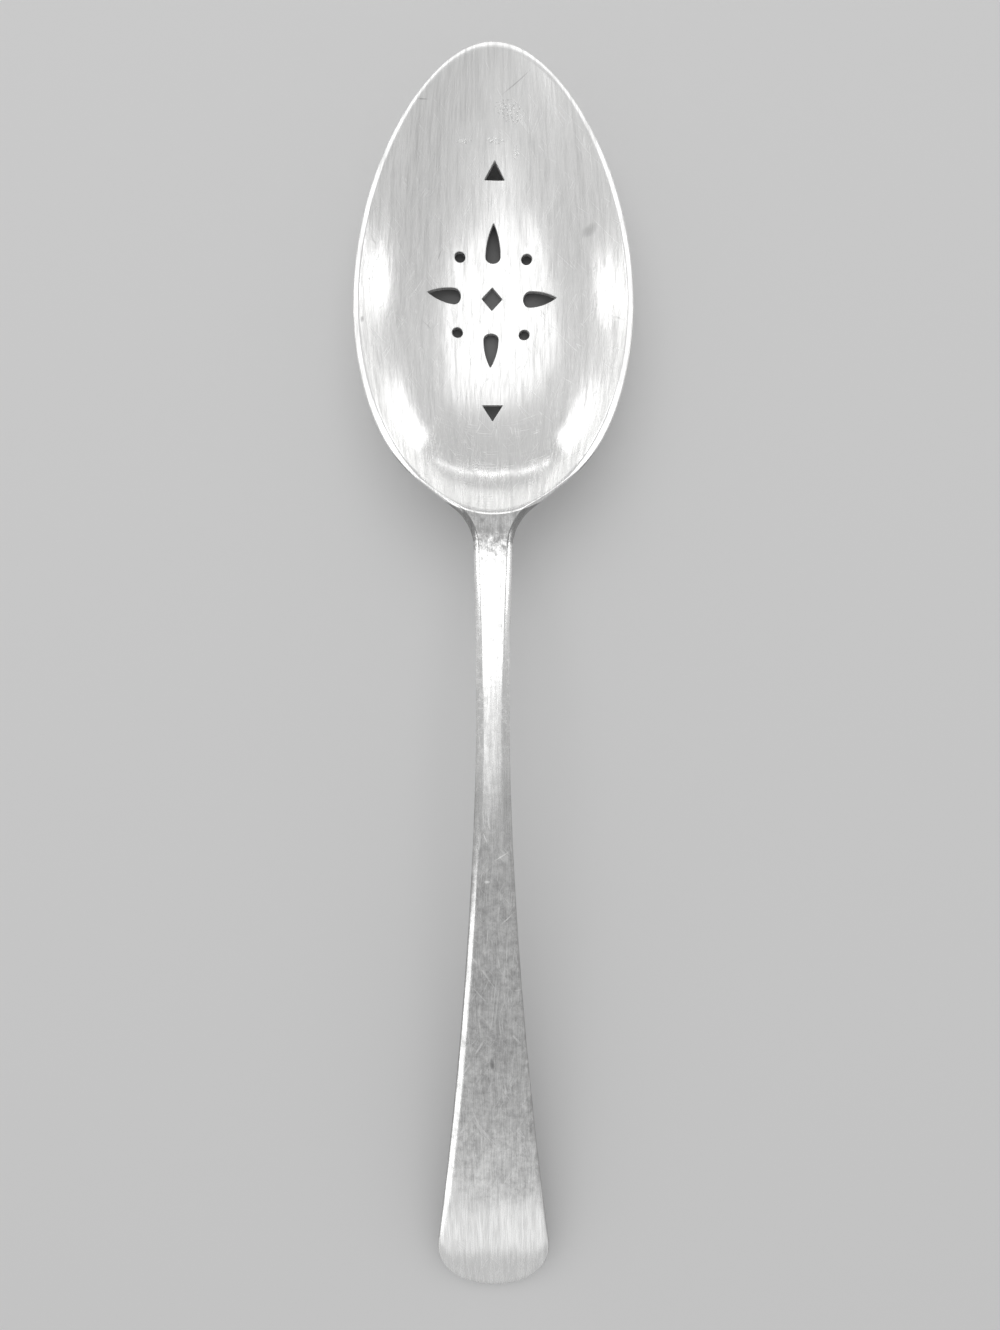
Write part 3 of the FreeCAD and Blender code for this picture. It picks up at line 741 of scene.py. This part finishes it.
# The worn silver, in millimetres and degrees. Spans are where a fade starts and stops. Noises are (width,
# length, seed, detail, roughness), brushed runs (degrees, width, length, seed), and scratched runs the same
# and how thin a line is. Marks are (x, y, half length, half width, degrees, strength): scoured ones catch
# light, and dark ones hold tarnish.
silverLooks = {
    "colour": (0.91, 0.91, 0.905), "mostTone": 1.08,
    "polished": 0.22, "heelPolished": 0.13, "scoured": 0.6,
    "stemScour": 0.12, "heelScour": 0.32, "bowlScour": 0.58, "tipScour": 0.74, "endScour": 0.3,
    "heelSpan": (40, 54), "tipSpan": (78, 98), "endSpan": (10, 45),
    "lipCurve": 0.038, "lipSpan": (-0.2, 0.2), "brightLipSpan": (-0.62, -0.46),
    "brushRuns": [(3, 0.2, 6.0, 0.0), (-4, 0.26, 4.0, 4.0), (1, 0.9, 14.0, 8.0)],
    "brushing": 0.42, "brushingTone": 0.36, "brushedLength": 52, "brushedTaper": 0.5, "mostTaper": 0.7,
    "mottleNoise": (6.0, 9.0, 2.0, 4.0), "mottle": 0.3, "mottleTone": 0.06,
    "grainNoise": (1.1, 1.3, 9.0, 4.0, 0.75), "pitSpan": (0.46, 0.62), "pitting": 0.6, "pitFade": 30,
    "scratchRuns": [
        (84, 0.5, 25.0, 1.0, 0.02), (97, 0.8, 22.0, 2.0, 0.012), (62, 1.6, 26.0, 3.0, 0.012),
        (128, 1.9, 24.0, 5.0, 0.012),
    ],
    "scratches": 0.3, "breaks": (3, 2), "breakSeed": 7.3, "breakSpan": (0.5, 0.62),
    "heelRun": (1, 0.5, 16.0, 6.0, 0.02), "heelRunCurve": 0.024, "heelScratches": 0.5,
    # Painted shade: the neck's colour is darkened, with a ragged edge, for the darker surroundings it would
    # mirror.
    "paintedNeckShade": 0.62, "neckSpan": (-0.5, 4), "neckRagged": 12,
    # The stem's colour is darkened between two spans: tarnish clouds and grain over painted shade for the
    # darker room it mirrors.
    "stemTarnishAndShade": 0.28, "stemSpans": ((10, -32), (-78, -91)), "stemRagged": (24, 30),
    "cloudNoise": (3.5, 5.0, 5.0, 5.0, 0.7), "cloudTarnish": 0.6, "grainTarnish": 0.9, "scratchShine": 0.6,
    # Painted shade: steep faces of the lower stem and its end are darkened.
    "paintedEdgeShade": 0.5, "steepSpan": (0.3, 0.84), "edgeTopY": -60,
    "speckNoise": (0.36, 0.4, 6.0, 1.0), "speckSpan": (0.53, 0.63), "speckHeight": 0.03,
    "lineHeight": 0.0024, "brushedHeight": 0.5,
    "speckledPlaces": [
        (2.9, 98.6, 2.9, 1.6, -28, 1.6), (-5.1, 94.4, 1.5, 0.45, 12, 1.8), (0.2, 94.7, 1.8, 0.5, 0, 1.4),
        (4.0, 92.8, 0.6, 1.1, 0, 1.6),
    ],
    "scouredMarks": [
        (-1.2, -23.9, 1.0, 0.12, 110, 0.8), (1.4, -26.8, 1.4, 0.14, 32, 0.9), (-0.9, -30.9, 0.5, 0.3, 0, 0.9),
        (2.2, -37.0, 1.5, 0.12, 43, 0.8), (2.2, -42.2, 3.6, 0.09, 88, 0.5), (4.2, -48.9, 1.0, 0.12, 0, 0.6),
        (5.7, -61.4, 0.3, 0.5, 0, 0.7), (0.4, -74.7, 2.8, 0.13, 2, 0.4), (1.0, -77.4, 2.2, 0.11, -3, 0.4),
        (2.9, 98.5, 0.8, 0.5, 20, 0.6), (2.0, 93.5, 1.4, 0.4, 70, 0.4), (-5.5, 94.4, 1.0, 0.3, 15, 0.6),
    ],
    "darkMarks": [
        (-0.17, -61.6, 1.1, 0.45, 95, 0.5), (16.6, 78.5, 1.5, 1.1, 20, 0.22), (3.9, 102.2, 3.0, 0.1, 28, 0.3),
        (-11.9, 98.5, 1.1, 0.12, 15, 0.3), (-9.7, 75.8, 1.2, 0.09, 70, 0.35),
        (-11.8, 63.4, 1.3, 0.09, 140, 0.3), (-22.1, 61.7, 0.7, 0.3, 80, 0.4),
    ],
}


# Coordinates along and across a direction, from a place.
def turned(x, y, place, degrees):
    c, s = np.cos(np.radians(degrees)), np.sin(np.radians(degrees))
    return (x - place[0]) * c + (y - place[1]) * s, (y - place[1]) * c - (x - place[0]) * s


# Sum of soft oval marks: each is its strength times one less the square distance in units of its size.
def marked(x, y, marks):
    total = 0.0
    for atX, atY, halfLength, halfWidth, degrees, strength in marks:
        along, across = turned(x, y, (atX, atY), degrees)
        along, across = along / halfLength, across / halfWidth
        total = (1 - along * along - across * across).most(0) * strength + total
    return total


# A noise that is stretched to a width and a length.
def grained(look, x, y, width, length, seed, detail, roughness=0.5):
    return look.noise(look.vector(x / width, y / length, seed), detail, roughness)


# Fine lines along a direction: thin bands where a stretched noise passes its middle, broken up by another.
def scratched(look, x, y, degrees, width, length, seed, thin):
    along, across = turned(x, y, (0, 0), degrees)
    lines = grained(look, along, across, length, width, seed, 1.0)
    band = 1 - look.smooth(look.maths("ABSOLUTE", lines - 0.5), 0, thin)
    broken = grained(look, along, across, *silverLooks["breaks"], seed + silverLooks["breakSeed"], 1.0)
    return band * look.smooth(broken, *silverLooks["breakSpan"])


# Brushing: a sum of stretched noises about 0, whose lines draw together towards both ends of the bowl.
def brushed(look, x, y):
    bend = (y - bowlY) / silverLooks["brushedLength"]
    x = x / (1 - (bend * bend).least(silverLooks["mostTaper"]) * silverLooks["brushedTaper"])
    total = 0
    for degrees, width, length, seed in silverLooks["brushRuns"]:
        across, along = turned(x, y, (0, 0), degrees)
        total = grained(look, across, along, width, length, seed, 1.0) - 0.5 + total
    return total


# The spoon's metal. Its wear, from polished to scoured, is a sum: a base for each region, brushing, mottle,
# scratches, pits and marks, less the specks, which shine. Its tone is the product of what mottle, brushing,
# dark marks, the stem's tarnish and painted shade on the neck, the stem and its steep faces leave of it.
def silverLook():
    material = bpy.data.materials.new("silver_plate")
    look, silver = Look(material), silverLooks
    _, normal, _, place = look.add("ShaderNodeTexCoord", {}, {})[:4]
    x, y, _ = look.parts(place)
    faceUp = look.parts(normal)[2]
    x, y = x * 1000, y * 1000
    pastLip = y - lipY - x * x * silver["lipCurve"]
    inBowl = look.smooth(pastLip, *silver["lipSpan"])
    beforeLip = 1 - look.smooth(pastLip, *silver["brightLipSpan"])
    atHeel = 1 - look.smooth(y, *silver["heelSpan"])
    atEnd = 1 - look.smooth(y, *(endY + reach for reach in silver["endSpan"]))

    brushing = brushed(look, x, y)
    mottle = grained(look, x, y, *silver["mottleNoise"]) - 0.5
    grain = grained(look, x, y, *silver["grainNoise"])
    cloud = grained(look, x, y, *silver["cloudNoise"]) - 0.5
    pitted = look.smooth(grain, *silver["pitSpan"])
    pitted = pitted * look.smooth(y, waistY - silver["pitFade"], waistY) * beforeLip
    scratches, *others = (scratched(look, x, y, *run) for run in silver["scratchRuns"])
    for lines in others:
        scratches = scratches.most(lines)
    curved = scratched(look, x, y - x * x * silver["heelRunCurve"], *silver["heelRun"])
    marks = marked(x, y, silver["scouredMarks"])
    specks = look.smooth(grained(look, x, y, *silver["speckNoise"]), *silver["speckSpan"])
    specks = specks * marked(x, y, silver["speckledPlaces"]).least(1)

    hollow = between(atHeel, silver["bowlScour"], silver["heelScour"])
    hollow = hollow + look.smooth(y, *silver["tipSpan"]) * (silver["tipScour"] - silver["bowlScour"])
    wear = between(inBowl, between(atEnd, silver["stemScour"], silver["endScour"]), hollow)
    wear = wear + brushing * silver["brushing"] + mottle * silver["mottle"]
    wear = wear + scratches * silver["scratches"] + pitted * silver["pitting"]
    wear = wear + curved * atHeel * inBowl * silver["heelScratches"] + marks - specks

    # Painted shade at the neck, ragged by the grain, stopping before the lip.
    neckStart, neckStop = (neckY + reach for reach in silver["neckSpan"])
    atNeck = look.smooth(y + (grain - 0.5) * silver["neckRagged"], neckStart, neckStop) * beforeLip
    # Tarnish clouds and grain on the stem over painted shade, cleared where scratches and scoured marks are.
    (stemStart, stemStop), (startRagged, stopRagged) = silver["stemSpans"], silver["stemRagged"]
    onStem = look.smooth(y + (mottle + grain - 0.5) * startRagged, *stemStart)
    onStem = onStem * (1 - look.smooth(y + mottle * stopRagged, *stemStop))
    stemTarnishAndShade = silver["stemTarnishAndShade"] + cloud * silver["cloudTarnish"]
    stemTarnishAndShade = stemTarnishAndShade + (grain - 0.5) * silver["grainTarnish"]
    stemTarnishAndShade = onStem * stemTarnishAndShade * (1 - marks.most(scratches * silver["scratchShine"]).least(1))
    # Painted shade on the steep faces of the lower stem and its end, by which way they face.
    steep = (1 - look.smooth(faceUp, *silver["steepSpan"])) * (1 - look.smooth(y, silver["edgeTopY"], neckY))
    tone = 1 - mottle * silver["mottleTone"] - brushing * silver["brushingTone"]
    darks = (marked(x, y, silver["darkMarks"]), steep * silver["paintedEdgeShade"], atNeck * silver["paintedNeckShade"])
    for dark in (*darks, stemTarnishAndShade):
        tone = tone * (1 - dark)
    tone = tone.least(silver["mostTone"])

    colour = look.vector(*(tone * part for part in silver["colour"]))
    relief = (brushing * silver["brushedHeight"] - scratches) * silver["lineHeight"]
    relief = relief + specks * silver["speckHeight"]
    bump = look.add("ShaderNodeBump", {}, {"Strength": 1.0, "Distance": 0.001, "Height": relief})[0]
    polish = between(atHeel * inBowl, silver["polished"], silver["heelPolished"])
    polished, scoured = (
        look.add("ShaderNodeBsdfPrincipled", {}, {
            "Base Color": colour, "Metallic": 1.0, "Roughness": roughness, "Normal": bump,
        })[0]
        for roughness in (polish, silver["scoured"])
    )
    look.add("ShaderNodeOutputMaterial", {}, {0: look.mixed(wear.most(0).least(1), polished, scoured)})
    return material


spoon.data.materials.append(silverLook())
print("silver:", len(spoon.active_material.node_tree.nodes), "nodes")

view = stageLooks["camera"]
cameraData = bpy.data.cameras.new("camera")
cameraData.sensor_width = view["sensor"]
cameraData.lens = view["sensor"] * view["focal"] / view["height"]
cameraData.clip_start = view["clip"]
cameraShown = bpy.data.objects.new("camera", cameraData)
cameraShown.location = view["place"]
bpy.context.scene.collection.objects.link(cameraShown)
bpy.context.scene.camera = cameraShown
bpy.context.scene.view_settings.view_transform = "Standard"
